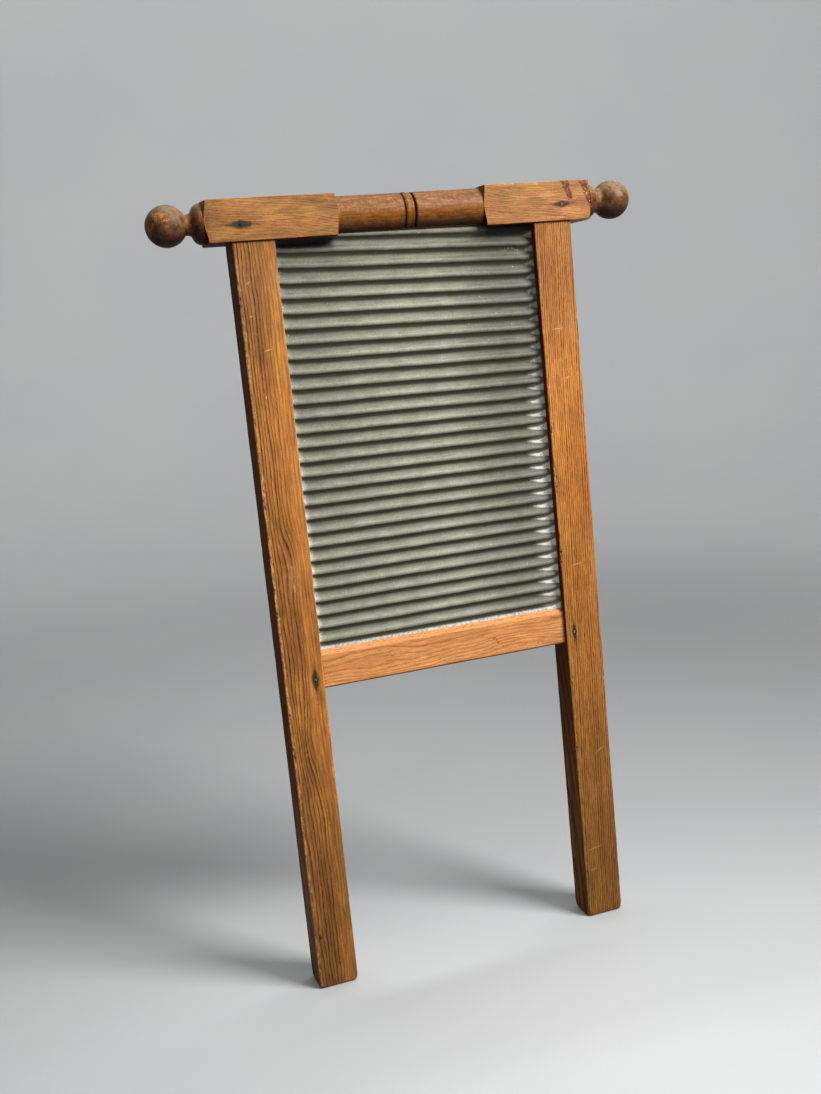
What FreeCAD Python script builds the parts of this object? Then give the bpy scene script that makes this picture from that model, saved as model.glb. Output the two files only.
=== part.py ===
"""A free-standing washboard: a turned top rail, two posts, a bottom rail, a ribbed zinc sheet and nails.

Frame: X runs across the board, -Y is the rubbing side, +Z is up along the posts.
The origin is midway between the feet, at mid depth, on the surface that the feet stand on.
All lengths are in millimetres.
"""
import FreeCAD
import Part
import math
import os

Vector = FreeCAD.Vector

# ---- driving dimensions --------------------------------------------------------------------------
POST_LENGTH = 630.0            # feet to the underside of the top rail
FRAME_WIDTH = 294.0            # across the outer faces of the two posts
POST_WIDTH = 34.5              # along X
POST_DEPTH = 28.0              # along Y
POST_ARRIS = 1.2               # worn round on the long edges
FOOT_ARRIS = 2.6               # heavier round where the posts stand in the tub

RAIL_SIDE = 33.0               # square section of the top rail's two blocks
RAIL_ARRIS = 0.8
BALL_RADIUS = 16.4
BALL_OFFSET = 194.0            # from the middle of the board to each ball's centre
BLOCK_OUTER = 164.8            # outer end of each square block, at its corners
LEFT_BLOCK_INNER = -60.9       # inner ends differ: the bar was marked out by eye
RIGHT_BLOCK_INNER = 69.0
LEFT_NECK_RADIUS = 8.5
RIGHT_NECK_RADIUS = 11.0
SHOULDER_RADIUS = 16.1         # where the rounded shoulder leaves the square block
CENTRE_RADIUS = 15.8           # round middle of the rail
CENTRE_FLARE = 0.5             # the round swells a little where it meets the right block
CENTRE_FLARE_LENGTH = 22.0
BEAD_CENTRE = 2.0              # the small bead cut near the middle of the round

LOW_RAIL_BOTTOM = 262.0        # underside of the bottom rail
LOW_RAIL_TOP = 294.5
LOW_RAIL_DEPTH = 20.0
LOW_RAIL_BEVEL_HEIGHT = 4.0    # sloping ledge that throws the water forward
LOW_RAIL_BEVEL_DEPTH = 4.4
LOW_RAIL_ARRIS = 2.0           # round on the lower front edge

SHEET_THICKNESS = 0.6
SHEET_MIDDLE_Y = -5.0          # middle plane of the ribbed sheet
RIB_PITCH = 11.71
RIB_RISE = 3.2                 # crest to valley, measured on the sheet's middle surface
RIB_CREST_RADIUS = 2.3         # middle surface radius over a crest
FIRST_CREST_Z = 301.6
RIB_COUNT = 29
SHEET_BOTTOM = 288.5
SHEET_TOP = 637.0
SHEET_HALF_WIDTH = 118.0

GROOVE_CLEARANCE = 0.1         # each side of the sheet
GROOVE_END_CLEARANCE = 0.5     # past the sheet's side and upper edges; it stands on its lower edge

POST_TENON_X = (119.0, 143.0)  # inner and outer faces of the tenon on top of each post
POST_TENON_DEPTH = 12.0
POST_TENON_HEIGHT = 22.0
RAIL_TENON_LENGTH = 20.0
RAIL_TENON_DEPTH = 10.0
RAIL_TENON_Z = (266.0, 286.0)
MORTISE_END_GAP = 0.5          # glue and shaving room past the end of each tenon

NAIL_SHANK_RADIUS = 1.1
NAIL_HEAD_RADIUS = 1.9
NAIL_HEAD_THICKNESS = 0.9
NAIL_POINT_LENGTH = 3.0
TOP_NAIL_X = 138.8
TOP_NAIL_Z = 643.3
TOP_NAIL_LENGTH = 28.0
LOW_NAIL_X = 120.4
LOW_NAIL_Z = 272.2
LOW_NAIL_LENGTH = 24.0

# ---- worked out from the dimensions above ----------------------------------------------------------
RAIL_AXIS_Z = POST_LENGTH + RAIL_SIDE / 2
POST_OUTER_X = FRAME_WIDTH / 2
POST_INNER_X = POST_OUTER_X - POST_WIDTH
LOW_RAIL_FRONT = -LOW_RAIL_DEPTH / 2
GROOVE_DEPTH_Y = RIB_RISE + SHEET_THICKNESS + 2 * GROOVE_CLEARANCE
CORNER_RADIUS = RAIL_SIDE / math.sqrt(2) + 0.3   # just past the corners of the square bar
LEFT, RIGHT = -1, 1


def block(x_range, y_range, z_range):
    """A box between two corners."""
    size = [high - low for low, high in (x_range, y_range, z_range)]
    corner = Vector(x_range[0], y_range[0], z_range[0])
    return Part.makeBox(size[0], size[1], size[2], corner)


def on_side(side, low, high):
    """An X range measured outward from the middle, placed on the left or the right."""
    return (low, high) if side == RIGHT else (-high, -low)


def edges_along(shape, axis, keep):
    """The straight edges of a shape that run along an axis and whose middle passes a test."""
    found = []
    for edge in shape.Edges:
        start, end = edge.firstVertex().Point, edge.lastVertex().Point
        direction = end - start
        if direction.Length < 1e-6:
            continue
        if abs(direction.normalize().dot(axis)) > 0.999 and keep((start + end) * 0.5):
            found.append(edge)
    return found


# ---- top rail ------------------------------------------------------------------------------------
def profile_line(x0, r0, x1, r1):
    return Part.LineSegment(Vector(x0, 0, r0), Vector(x1, 0, r1)).toShape()


def profile_arc(x0, r0, x1, r1, x2, r2):
    return Part.Arc(Vector(x0, 0, r0), Vector(x1, 0, r1), Vector(x2, 0, r2)).toShape()


def finial_profile(side, neck_radius):
    """Ball, neck cove, rounded shoulder and the cut up to the square corners, outermost end first."""
    reach = math.sqrt(BALL_RADIUS ** 2 - neck_radius ** 2)
    ball_end = BALL_OFFSET - reach
    ball_side = BALL_RADIUS * math.sqrt(0.5)
    cove_middle = BLOCK_OUTER + 11.8
    cove_end = BLOCK_OUTER + 9.4
    cove_end_radius = neck_radius + 1.7
    shoulder_start = BLOCK_OUTER + 2.5
    round_middle = (BLOCK_OUTER + 6.9, SHOULDER_RADIUS - 1.8)
    cut_middle = (BLOCK_OUTER + 0.9, SHOULDER_RADIUS + 2.8)
    return [
        profile_arc(side * (BALL_OFFSET + BALL_RADIUS), 0,
                    side * (BALL_OFFSET + ball_side), ball_side,
                    side * BALL_OFFSET, BALL_RADIUS),
        profile_arc(side * BALL_OFFSET, BALL_RADIUS,
                    side * (BALL_OFFSET - ball_side), ball_side,
                    side * ball_end, neck_radius),
        profile_arc(side * ball_end, neck_radius,
                    side * cove_middle, neck_radius - 0.1,
                    side * cove_end, cove_end_radius),
        profile_arc(side * cove_end, cove_end_radius,
                    side * round_middle[0], round_middle[1],
                    side * shoulder_start, SHOULDER_RADIUS),
        profile_arc(side * shoulder_start, SHOULDER_RADIUS,
                    side * cut_middle[0], cut_middle[1],
                    side * BLOCK_OUTER, CORNER_RADIUS),
    ]


def bead_profile():
    """A deep groove, a fillet, a fine groove, the bead and a narrow groove, from right to left."""
    bead_left = BEAD_CENTRE - 2.9
    bead_right = BEAD_CENTRE + 1.9
    fine_right = bead_right + 0.8
    fillet_right = fine_right + 1.5
    deep_right = fillet_right + 1.9
    deep_root = (deep_right + fillet_right) / 2
    narrow_left = bead_left - 1.2
    narrow_root = (bead_left + narrow_left) / 2
    bead_root = CENTRE_RADIUS - 0.5
    fillet_radius = CENTRE_RADIUS - 0.1
    edges = [
        profile_line(deep_right, CENTRE_RADIUS, deep_root, CENTRE_RADIUS - 1.3),
        profile_line(deep_root, CENTRE_RADIUS - 1.3, fillet_right, fillet_radius),
        profile_line(fillet_right, fillet_radius, fine_right, fillet_radius),
        profile_line(fine_right, fillet_radius, bead_right, bead_root),
        profile_arc(bead_right, bead_root, (bead_left + bead_right) / 2, CENTRE_RADIUS + 0.4,
                    bead_left, bead_root),
        profile_line(bead_left, bead_root, narrow_root, CENTRE_RADIUS - 0.8),
        profile_line(narrow_root, CENTRE_RADIUS - 0.8, narrow_left, CENTRE_RADIUS),
    ]
    return edges, deep_right, narrow_left


def centre_profile():
    """The round middle of the rail between its two blocks, from right to left."""
    bead, bead_start, bead_stop = bead_profile()
    right_end = RIGHT_BLOCK_INNER - 1.8
    left_end = LEFT_BLOCK_INNER + 2.2
    flare_start = right_end - CENTRE_FLARE_LENGTH
    right_radius = CENTRE_RADIUS + CENTRE_FLARE
    return [
        profile_arc(RIGHT_BLOCK_INNER, CORNER_RADIUS,
                    RIGHT_BLOCK_INNER - 0.6, (CORNER_RADIUS + right_radius) / 2,
                    right_end, right_radius),
        profile_line(right_end, right_radius, flare_start, CENTRE_RADIUS),
        profile_line(flare_start, CENTRE_RADIUS, bead_start, CENTRE_RADIUS),
        *bead,
        profile_line(bead_stop, CENTRE_RADIUS, left_end, CENTRE_RADIUS),
        profile_arc(left_end, CENTRE_RADIUS,
                    LEFT_BLOCK_INNER + 0.6, (CORNER_RADIUS + CENTRE_RADIUS) / 2,
                    LEFT_BLOCK_INNER, CORNER_RADIUS),
    ]


def top_rail_blank():
    """The bar as it leaves the lathe: a turned envelope that keeps two lengths of the square bar."""
    right_finial = finial_profile(RIGHT, RIGHT_NECK_RADIUS)
    left_finial = finial_profile(LEFT, LEFT_NECK_RADIUS)
    edges = [
        *right_finial,
        profile_line(BLOCK_OUTER, CORNER_RADIUS, RIGHT_BLOCK_INNER, CORNER_RADIUS),
        *centre_profile(),
        profile_line(LEFT_BLOCK_INNER, CORNER_RADIUS, -BLOCK_OUTER, CORNER_RADIUS),
        *left_finial,
    ]
    tip = BALL_OFFSET + BALL_RADIUS
    edges.append(profile_line(-tip, 0, tip, 0))
    outline = Part.Wire(Part.__sortEdges__(edges))
    turned = Part.Face(outline).revolve(Vector(0, 0, 0), Vector(1, 0, 0), 360)
    half = RAIL_SIDE / 2
    bar = block((-tip - 5, tip + 5), (-half, half), (-half, half))
    bar = bar.makeFillet(RAIL_ARRIS, edges_along(bar, Vector(1, 0, 0), lambda middle: True))
    blank = turned.common(bar)
    blank.translate(Vector(0, 0, RAIL_AXIS_Z))
    return blank


def top_rail():
    """The turned bar with a mortise over each post and a groove for the sheet's upper edge."""
    rail = top_rail_blank()
    for side in (LEFT, RIGHT):
        rail = rail.cut(post_tenon(side, MORTISE_END_GAP))
    groove_half = SHEET_HALF_WIDTH + GROOVE_END_CLEARANCE
    rail = rail.cut(block((-groove_half, groove_half), groove_y(),
                          (POST_LENGTH - 5, SHEET_TOP + GROOVE_END_CLEARANCE)))
    return rail.cut(top_rail_nails())


# ---- posts and bottom rail -------------------------------------------------------------------------
def post_tenon(side, extra=0.0):
    """The tongue on top of a post; extra lengthens it into the shape of its mortise."""
    half = POST_TENON_DEPTH / 2
    return block(on_side(side, *POST_TENON_X), (-half, half),
                 (POST_LENGTH, POST_LENGTH + POST_TENON_HEIGHT + extra))


def rail_tenon(side, extra=0.0):
    """The tongue on one end of the bottom rail, inside the post."""
    half = RAIL_TENON_DEPTH / 2
    reach = on_side(side, POST_INNER_X, POST_INNER_X + RAIL_TENON_LENGTH + extra)
    return block(reach, (-half, half), RAIL_TENON_Z)


def groove_y():
    """Front and back faces of the groove that holds the ribbed sheet."""
    return (SHEET_MIDDLE_Y - GROOVE_DEPTH_Y / 2, SHEET_MIDDLE_Y + GROOVE_DEPTH_Y / 2)


def post(side):
    """A square-sawn post with a tenon on top, a mortise for the bottom rail and the sheet's groove."""
    half = POST_DEPTH / 2
    body = block(on_side(side, POST_INNER_X, POST_OUTER_X), (-half, half), (0, POST_LENGTH))
    foot = [edge for edge in body.Edges if edge.BoundBox.ZMax < 0.1]
    body = body.makeFillet(FOOT_ARRIS, foot)
    long_edges = edges_along(body, Vector(0, 0, 1), lambda middle: True)
    body = body.makeFillet(POST_ARRIS, [edge for edge in long_edges if edge.Length > POST_LENGTH / 2])
    body = body.fuse(post_tenon(side))
    groove_x = on_side(side, POST_INNER_X - 1, SHEET_HALF_WIDTH + GROOVE_END_CLEARANCE)
    groove_z = (SHEET_BOTTOM, POST_LENGTH)
    body = body.cut(block(groove_x, groove_y(), groove_z))
    body = body.cut(rail_tenon(side, MORTISE_END_GAP))
    body = body.cut(top_rail_nails())
    return body.cut(bottom_rail_nails()).removeSplitter()


def bottom_rail():
    """The cross rail under the sheet: a bevelled upper front edge, a sawn groove and two tenons."""
    front = LOW_RAIL_FRONT
    back = front + LOW_RAIL_DEPTH
    section = Part.makePolygon([
        Vector(-POST_INNER_X, front, LOW_RAIL_BOTTOM),
        Vector(-POST_INNER_X, front, LOW_RAIL_TOP - LOW_RAIL_BEVEL_HEIGHT),
        Vector(-POST_INNER_X, front + LOW_RAIL_BEVEL_DEPTH, LOW_RAIL_TOP),
        Vector(-POST_INNER_X, back, LOW_RAIL_TOP),
        Vector(-POST_INNER_X, back, LOW_RAIL_BOTTOM),
        Vector(-POST_INNER_X, front, LOW_RAIL_BOTTOM),
    ])
    rail = Part.Face(section).extrude(Vector(2 * POST_INNER_X, 0, 0))
    low_front = edges_along(rail, Vector(1, 0, 0),
                            lambda middle: middle.y < front + 0.1 and middle.z < LOW_RAIL_BOTTOM + 0.1)
    rail = rail.makeFillet(LOW_RAIL_ARRIS, low_front)
    kerf = SHEET_THICKNESS / 2 + GROOVE_CLEARANCE
    rail = rail.cut(block((-POST_INNER_X, POST_INNER_X), (SHEET_MIDDLE_Y - kerf, SHEET_MIDDLE_Y + kerf),
                          (SHEET_BOTTOM, LOW_RAIL_TOP)))
    for side in (LEFT, RIGHT):
        rail = rail.fuse(rail_tenon(side))
    return rail.cut(bottom_rail_nails()).removeSplitter()


# ---- ribbed sheet ----------------------------------------------------------------------------------
def rib_path(offset):
    """One face of the sheet from bottom to top, offset from its middle surface towards the front."""
    flank = 2 * math.atan(2 * RIB_RISE / RIB_PITCH)
    valley_radius = RIB_PITCH / (2 * math.sin(flank)) - RIB_CREST_RADIUS
    crest_middle = SHEET_MIDDLE_Y - RIB_RISE / 2 + RIB_CREST_RADIUS
    valley_middle = SHEET_MIDDLE_Y + RIB_RISE / 2 - valley_radius
    crest_radius = RIB_CREST_RADIUS + offset
    hollow_radius = valley_radius - offset
    crest_step = crest_radius * math.sin(flank)
    join_y = crest_middle - crest_radius * math.cos(flank)
    edges = []
    tab_y = SHEET_MIDDLE_Y - offset
    point = Vector(0, tab_y, SHEET_BOTTOM)
    for rib in range(RIB_COUNT):
        crest_z = FIRST_CREST_Z + rib * RIB_PITCH
        start = Vector(0, join_y, crest_z - crest_step)
        top = Vector(0, crest_middle - crest_radius, crest_z)
        end = Vector(0, join_y, crest_z + crest_step)
        if rib == 0:
            elbow = Vector(0, tab_y, start.z - (tab_y - join_y) / math.tan(flank))
            edges.append(Part.LineSegment(point, elbow).toShape())
            edges.append(Part.LineSegment(elbow, start).toShape())
        else:
            hollow = Vector(0, valley_middle + hollow_radius, crest_z - RIB_PITCH / 2)
            edges.append(Part.Arc(point, hollow, start).toShape())
        edges.append(Part.Arc(start, top, end).toShape())
        point = end
    elbow = Vector(0, tab_y, point.z + (tab_y - join_y) / math.tan(flank))
    edges.append(Part.LineSegment(point, elbow).toShape())
    last = Vector(0, tab_y, SHEET_TOP)
    edges.append(Part.LineSegment(elbow, last).toShape())
    return edges, Vector(0, tab_y, SHEET_BOTTOM), last


def ribbed_sheet():
    """The zinc rubbing sheet: rounded horizontal ribs between two flat edges."""
    half = SHEET_THICKNESS / 2
    front, front_low, front_high = rib_path(half)
    back, back_low, back_high = rib_path(-half)
    ends = [Part.LineSegment(front_low, back_low).toShape(),
            Part.LineSegment(front_high, back_high).toShape()]
    outline = Part.Wire(Part.__sortEdges__(front + back + ends))
    sheet = Part.Face(outline).extrude(Vector(2 * SHEET_HALF_WIDTH, 0, 0))
    sheet.translate(Vector(-SHEET_HALF_WIDTH, 0, 0))
    return sheet


# ---- nails -----------------------------------------------------------------------------------------
def nail(x, z, front_y, length):
    """A round wire nail driven straight back from a front face, its head flush."""
    back = Vector(0, 1, 0)
    head = Part.makeCylinder(NAIL_HEAD_RADIUS, NAIL_HEAD_THICKNESS, Vector(x, front_y, z), back)
    shank_length = length - NAIL_POINT_LENGTH
    shank = Part.makeCylinder(NAIL_SHANK_RADIUS, shank_length, Vector(x, front_y, z), back)
    point = Part.makeCone(NAIL_SHANK_RADIUS, 0.2, NAIL_POINT_LENGTH,
                          Vector(x, front_y + shank_length, z), back)
    return head.fuse([shank, point]).removeSplitter()


def top_rail_nails():
    """One nail through each block of the top rail into the post's tenon."""
    front = -RAIL_SIDE / 2
    return Part.makeCompound([nail(side * TOP_NAIL_X, TOP_NAIL_Z, front, TOP_NAIL_LENGTH)
                              for side in (LEFT, RIGHT)])


def bottom_rail_nails():
    """One nail through each post into the bottom rail's tenon."""
    front = -POST_DEPTH / 2
    return Part.makeCompound([nail(side * LOW_NAIL_X, LOW_NAIL_Z, front, LOW_NAIL_LENGTH)
                              for side in (LEFT, RIGHT)])


NODES = {
    "top_rail": top_rail,
    "left_post": lambda: post(LEFT),
    "right_post": lambda: post(RIGHT),
    "bottom_rail": bottom_rail,
    "ribbed_sheet": ribbed_sheet,
    "top_rail_nails": top_rail_nails,
    "bottom_rail_nails": bottom_rail_nails,
}

os.makedirs("parts", exist_ok=True)
for name, make in NODES.items():
    shape = make()
    shape.exportStep(os.path.join("parts", name + ".step"))
    box = shape.BoundBox
    print(f"{name:18s} solids {len(shape.Solids)} valid {shape.isValid()} volume {shape.Volume:10.1f} "
          f"x {box.XMin:.1f}..{box.XMax:.1f} y {box.YMin:.1f}..{box.YMax:.1f} "
          f"z {box.ZMin:.1f}..{box.ZMax:.1f}")
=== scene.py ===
"""The looks of an old washboard: worn pine frame, varnished turnings, weathered zinc sheet, iron nails.

Places come from the CAD frame's boxes. Lengths are in millimetres unless a comment says metres."""

import cmath
import math

import bpy
import numpy as np
from mathutils import Matrix, Vector


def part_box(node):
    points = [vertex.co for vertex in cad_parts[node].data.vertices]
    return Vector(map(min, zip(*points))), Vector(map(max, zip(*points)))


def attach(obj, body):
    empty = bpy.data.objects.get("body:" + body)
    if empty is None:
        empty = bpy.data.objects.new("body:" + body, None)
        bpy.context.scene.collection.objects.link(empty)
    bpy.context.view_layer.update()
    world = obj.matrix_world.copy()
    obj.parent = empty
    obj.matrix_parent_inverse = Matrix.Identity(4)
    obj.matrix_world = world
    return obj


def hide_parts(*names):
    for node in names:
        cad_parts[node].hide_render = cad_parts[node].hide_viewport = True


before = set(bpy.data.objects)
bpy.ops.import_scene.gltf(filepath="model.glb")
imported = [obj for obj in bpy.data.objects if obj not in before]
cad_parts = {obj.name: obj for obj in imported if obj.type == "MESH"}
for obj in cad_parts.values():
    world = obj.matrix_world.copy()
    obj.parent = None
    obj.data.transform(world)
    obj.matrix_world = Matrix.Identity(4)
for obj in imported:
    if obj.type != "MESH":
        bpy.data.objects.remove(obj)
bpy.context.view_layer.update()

MM = 0.001
LEFT, RIGHT = SIDES = (-1, 1)


def box(node):
    """A CAD node's lowest and highest corners."""
    return np.array(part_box(node)) / MM


# ---- repeatable noise for shaping meshes ----
def lattice(cell, seed):
    """A repeatable random number from -1 to 1 for each whole-number cell."""
    mixed = (cell[:, 0] * 73856093) ^ (cell[:, 1] * 19349663) ^ (cell[:, 2] * 83492791) ^ (seed * 2654435)
    mixed = (mixed * 1103515245 + 12345) & 0x7FFFFFFF
    mixed = ((mixed >> 13) ^ mixed) * 1274126177 & 0x7FFFFFFF
    return mixed / float(0x3FFFFFFF) - 1


def smooth_noise(points, size, seed):
    """Smooth noise from -1 to 1 at points; size is one grain's length, or one per axis."""
    scaled = points / size
    cell = np.floor(scaled).astype(np.int64)
    part = scaled - cell
    part = part * part * (3 - 2 * part)
    total = np.zeros(len(points))
    for corner in np.ndindex(2, 2, 2):
        step = np.array(corner)
        weight = np.prod(np.where(step, part, 1 - part), axis=1)
        total += weight * lattice(cell + step, seed)
    return total


def rough(points, size, seed, octaves=3):
    """Layers of smooth noise, each half the size and strength of the last."""
    size = np.asarray(size, float)
    layers = [smooth_noise(points, size / 2 ** k, seed + 17 * k) / 2 ** k for k in range(octaves)]
    return np.sum(layers, axis=0)


def ease(low, high, value):
    """0 at low, 1 at high, and a smooth S between."""
    t = np.clip((value - low) / (high - low), 0, 1)
    return t * t * (3 - 2 * t)


# ---- node trees ----
class Nodes:
    """Short calls that build one material's nodes. Each returns an output socket."""

    def __init__(self, name):
        self.material = bpy.data.materials.new(name)
        self.material.use_nodes = True
        self.tree = self.material.node_tree
        self.tree.nodes.clear()
        output = self.tree.nodes.new("ShaderNodeOutputMaterial")
        self.shader = self.tree.nodes.new("ShaderNodeBsdfPrincipled")
        self.tree.links.new(self.shader.outputs[0], output.inputs[0])

    def feed(self, socket, value):
        if isinstance(value, bpy.types.NodeSocket):
            self.tree.links.new(value, socket)
        elif socket.type == "RGBA":
            socket.default_value = (*(linear(value) if isinstance(value, str) else value), 1)
        else:
            socket.default_value = value

    def node(self, kind, inputs=(), output=0, **settings):
        made = self.tree.nodes.new("ShaderNode" + kind)
        for key, value in settings.items():
            setattr(made, key, value)
        for key, value in dict(inputs).items():
            self.feed(made.inputs[key], value)
        return made.outputs[output]

    def math(self, operation, a, b=0, clamp=False):
        return self.node("Math", {0: a, 1: b}, operation=operation, use_clamp=clamp)

    def fold(self, operation, values):
        total = values[0]
        for value in values[1:]:
            total = self.math(operation, total, value)
        return total

    def add(self, *values):
        return self.fold("ADD", values)

    def times(self, *values):
        return self.fold("MULTIPLY", values)

    def most(self, *values):
        return self.fold("MAXIMUM", values)

    def size(self, value):
        return self.math("ABSOLUTE", value)

    def rest(self, share):
        """What a share leaves of 1."""
        return self.math("SUBTRACT", 1, share)

    def swing(self, noise, width):
        """Noise from 0 to 1 made to swing about zero."""
        return self.times(self.add(noise, -0.5), width)

    def vector(self, x, y, z=0):
        return self.node("CombineXYZ", {0: x, 1: y, 2: z})

    def split(self, vector):
        return self.node("SeparateXYZ", {0: vector}).node.outputs

    def scaled(self, vector, scale):
        return self.node("VectorMath", {0: vector, 1: scale}, operation="MULTIPLY")

    def shifted(self, vector, offset):
        return self.node("VectorMath", {0: vector, 1: offset}, operation="ADD")

    def length(self, vector):
        return self.node("VectorMath", {0: vector}, output=1, operation="LENGTH")

    def noise(self, vector, size, detail=2, roughness=0.5):
        """Noise from 0 to 1; size is one grain's length, or one per axis."""
        sizes = size if isinstance(size, tuple) else (size,) * 3
        scaled = self.scaled(vector, tuple(1 / s for s in sizes))
        return self.node("TexNoise", {"Vector": scaled, "Scale": 1, "Detail": detail, "Roughness": roughness})

    def remap(self, value, low, high, to_low=0, to_high=1):
        return self.node("MapRange", {"Value": value, 1: low, 2: high, 3: to_low, 4: to_high},
                         interpolation_type="SMOOTHSTEP", clamp=True)

    def curve(self, value, stops):
        """A smooth grey ramp through (place, level) stops."""
        grey = self.node("ValToRGB", {0: value})
        ramp = grey.node.color_ramp
        ramp.interpolation = "EASE"
        while len(ramp.elements) < len(stops):
            ramp.elements.new(0.5)
        for element, (place, level) in zip(ramp.elements, stops):
            element.position = place
            element.color = (level, level, level, 1)
        return grey

    def between(self, factor, a, b):
        return self.node("Mix", {0: factor, 2: a, 3: b}, data_type="FLOAT")

    def mix(self, factor, a, b, blend="MIX"):
        return self.node("Mix", {0: factor, 6: a, 7: b}, output=2, data_type="RGBA", blend_type=blend)

    def bright(self, colour, factor):
        return self.node("VectorMath", {0: colour, 3: factor}, operation="SCALE")

    def attribute(self, name):
        return self.node("Attribute", output=2, attribute_name=name)

    def position(self):
        return self.scaled(self.node("TexCoord", output=3), (1 / MM,) * 3)

    def bump(self, height, depth):
        return self.node("Bump", {"Strength": 1, "Distance": depth * MM, "Height": height})

    def finish(self, colour, roughness, normal, **others):
        for key, value in {"Base Color": colour, "Roughness": roughness, "Normal": normal, **others}.items():
            self.feed(self.shader.inputs[key.replace("_", " ")], value)
        return self.material


def linear(code):
    """A screen's "#rrggbb" colour as the linear numbers that shaders use."""
    levels = (int(code[k:k + 2], 16) / 255 for k in (1, 3, 5))
    return tuple(v / 12.92 if v <= 0.04045 else ((v + 0.055) / 1.055) ** 2.4 for v in levels)


# ---- wood ----
class Timber:
    """How one piece of pine was sawn, and what has happened to it.

    along is the axis of the grain. light and warm are the tones of early wood, dark is late wood and contrast
    its strength. ring is a growth ring's width, pith the (across, depth) of the tree's centre, lean its drift
    along the grain, wobble the rings' broad and fine waver, and dashes how much late wood breaks up. mottle
    is the strength of ochre and pink patches."""
    streak = 0.26  # strength of the long light and dark streaks
    cloud = 0.12  # how far broad patches turn lighter or darker
    fair = ()  # (from, to) across the grain, where the wood turns paler and plainer
    knots = ()  # (across, along, size, swirl, darkness)
    stains = ()  # (x, y, z, half length along the grain, half width, darkness)
    scratches = ()  # (across, along, half length, angle to the grain in degrees)
    cracks = ()  # the same, for thin dark splits
    flecks = ()  # the same, for flecks of old red paint

    def __init__(self, **facts):
        self.__dict__.update(facts)


def from_knot(n, across, along, knot, along_share):
    """Distance from a knot in knot sizes; lengths along the grain count for less."""
    return n.length(n.vector(n.times(n.add(across, -knot[0]), 1 / knot[2]),
                             n.times(n.add(along, -knot[1]), along_share / knot[2])))


def ring_pattern(n, timber, here, across, depth, along):
    """Late wood from 0 to 1."""
    broad = n.noise(here, (30, 30, 110))
    fine = n.noise(here, (4, 4, 20))
    tree_x = n.add(across, -timber.pith[0], n.times(along, -timber.lean[0]))
    tree_y = n.add(depth, -timber.pith[1], n.times(along, -timber.lean[1]))
    radius = n.length(n.vector(tree_x, tree_y))
    radius = n.add(radius, n.swing(broad, timber.wobble[0] * 2), n.swing(fine, timber.wobble[1] * 2))
    for knot in timber.knots:
        away = from_knot(n, across, along, knot, 0.38)
        radius = n.add(radius, n.times(n.remap(away, 0, 3.2, 1, 0), knot[3]))
    years = n.node("TexNoise", {"W": n.times(radius, 1 / 7), "Scale": 1, "Detail": 1}, noise_dimensions="1D")
    radius = n.add(radius, n.swing(years, 0.9 * timber.ring))
    phase = n.math("DIVIDE", radius, timber.ring)
    late = n.curve(n.math("FRACT", phase),
                   ((0, 0.45), (0.08, 0), (0.55, 0.08), (0.72, 0.5), (0.81, 1), (0.95, 1)))
    ring_tone = n.node("TexWhiteNoise", {"W": n.math("FLOOR", phase)}, noise_dimensions="1D")
    breaks = n.noise(here, (1.5, 1.5, 6), 3)
    return n.times(late, n.remap(breaks, 0.42, 0.56, 1 - timber.dashes, 1), n.remap(ring_tone, 0, 1, 0.55, 1))


def blot(n, point, place, half_sizes, ragged):
    """A soft patch round a place: an eye with pointed ends and a ragged edge."""
    away = n.scaled(n.shifted(point, tuple(-c for c in place)), tuple(1 / h for h in half_sizes))
    pointed = n.add(*(n.size(part) for part in n.split(away)))
    reach = n.add(n.times(pointed, 0.6), n.times(n.length(away), 0.4))
    return n.remap(n.add(reach, n.swing(n.noise(point, 3, 3), ragged * 2)), 0.45, 1.05, 1, 0)


def scored(n, marks, colour, across, along, half_width, tone):
    """Short straight marks: light scratches, dark splits or flecks of paint."""
    for at_across, at_along, half_length, angle in marks:
        turn = math.radians(angle)
        u, v = n.add(across, -at_across), n.add(along, -at_along)
        off = n.add(n.times(u, math.cos(turn)), n.times(v, -math.sin(turn)))
        on = n.add(n.times(u, math.sin(turn)), n.times(v, math.cos(turn)))
        reach = n.length(n.vector(n.times(off, 1 / half_width), n.times(on, 1 / half_length)))
        colour = n.mix(n.remap(reach, 0.4, 1.1, 0.6, 0), colour, tone)
    return colour


def stained(n, timber, colour, point):
    """Black bloom round an iron nail: a faint tail under a dense eye."""
    layers = ((2, 0.8, 0.5, 0.45, "#4a321a"), (1, 1, 0.2, 1, "#282216"))
    for *place, half_length, half_width, darkness in timber.stains:
        for long, wide, ragged, strength, tone in layers:
            length, width = half_length * long, half_width * wide
            sizes = (length, width * 3, width) if timber.along == "x" else (width, width * 3, length)
            colour = n.mix(n.times(blot(n, point, place, sizes, ragged), strength * darkness), colour, tone)
    return colour


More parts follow.
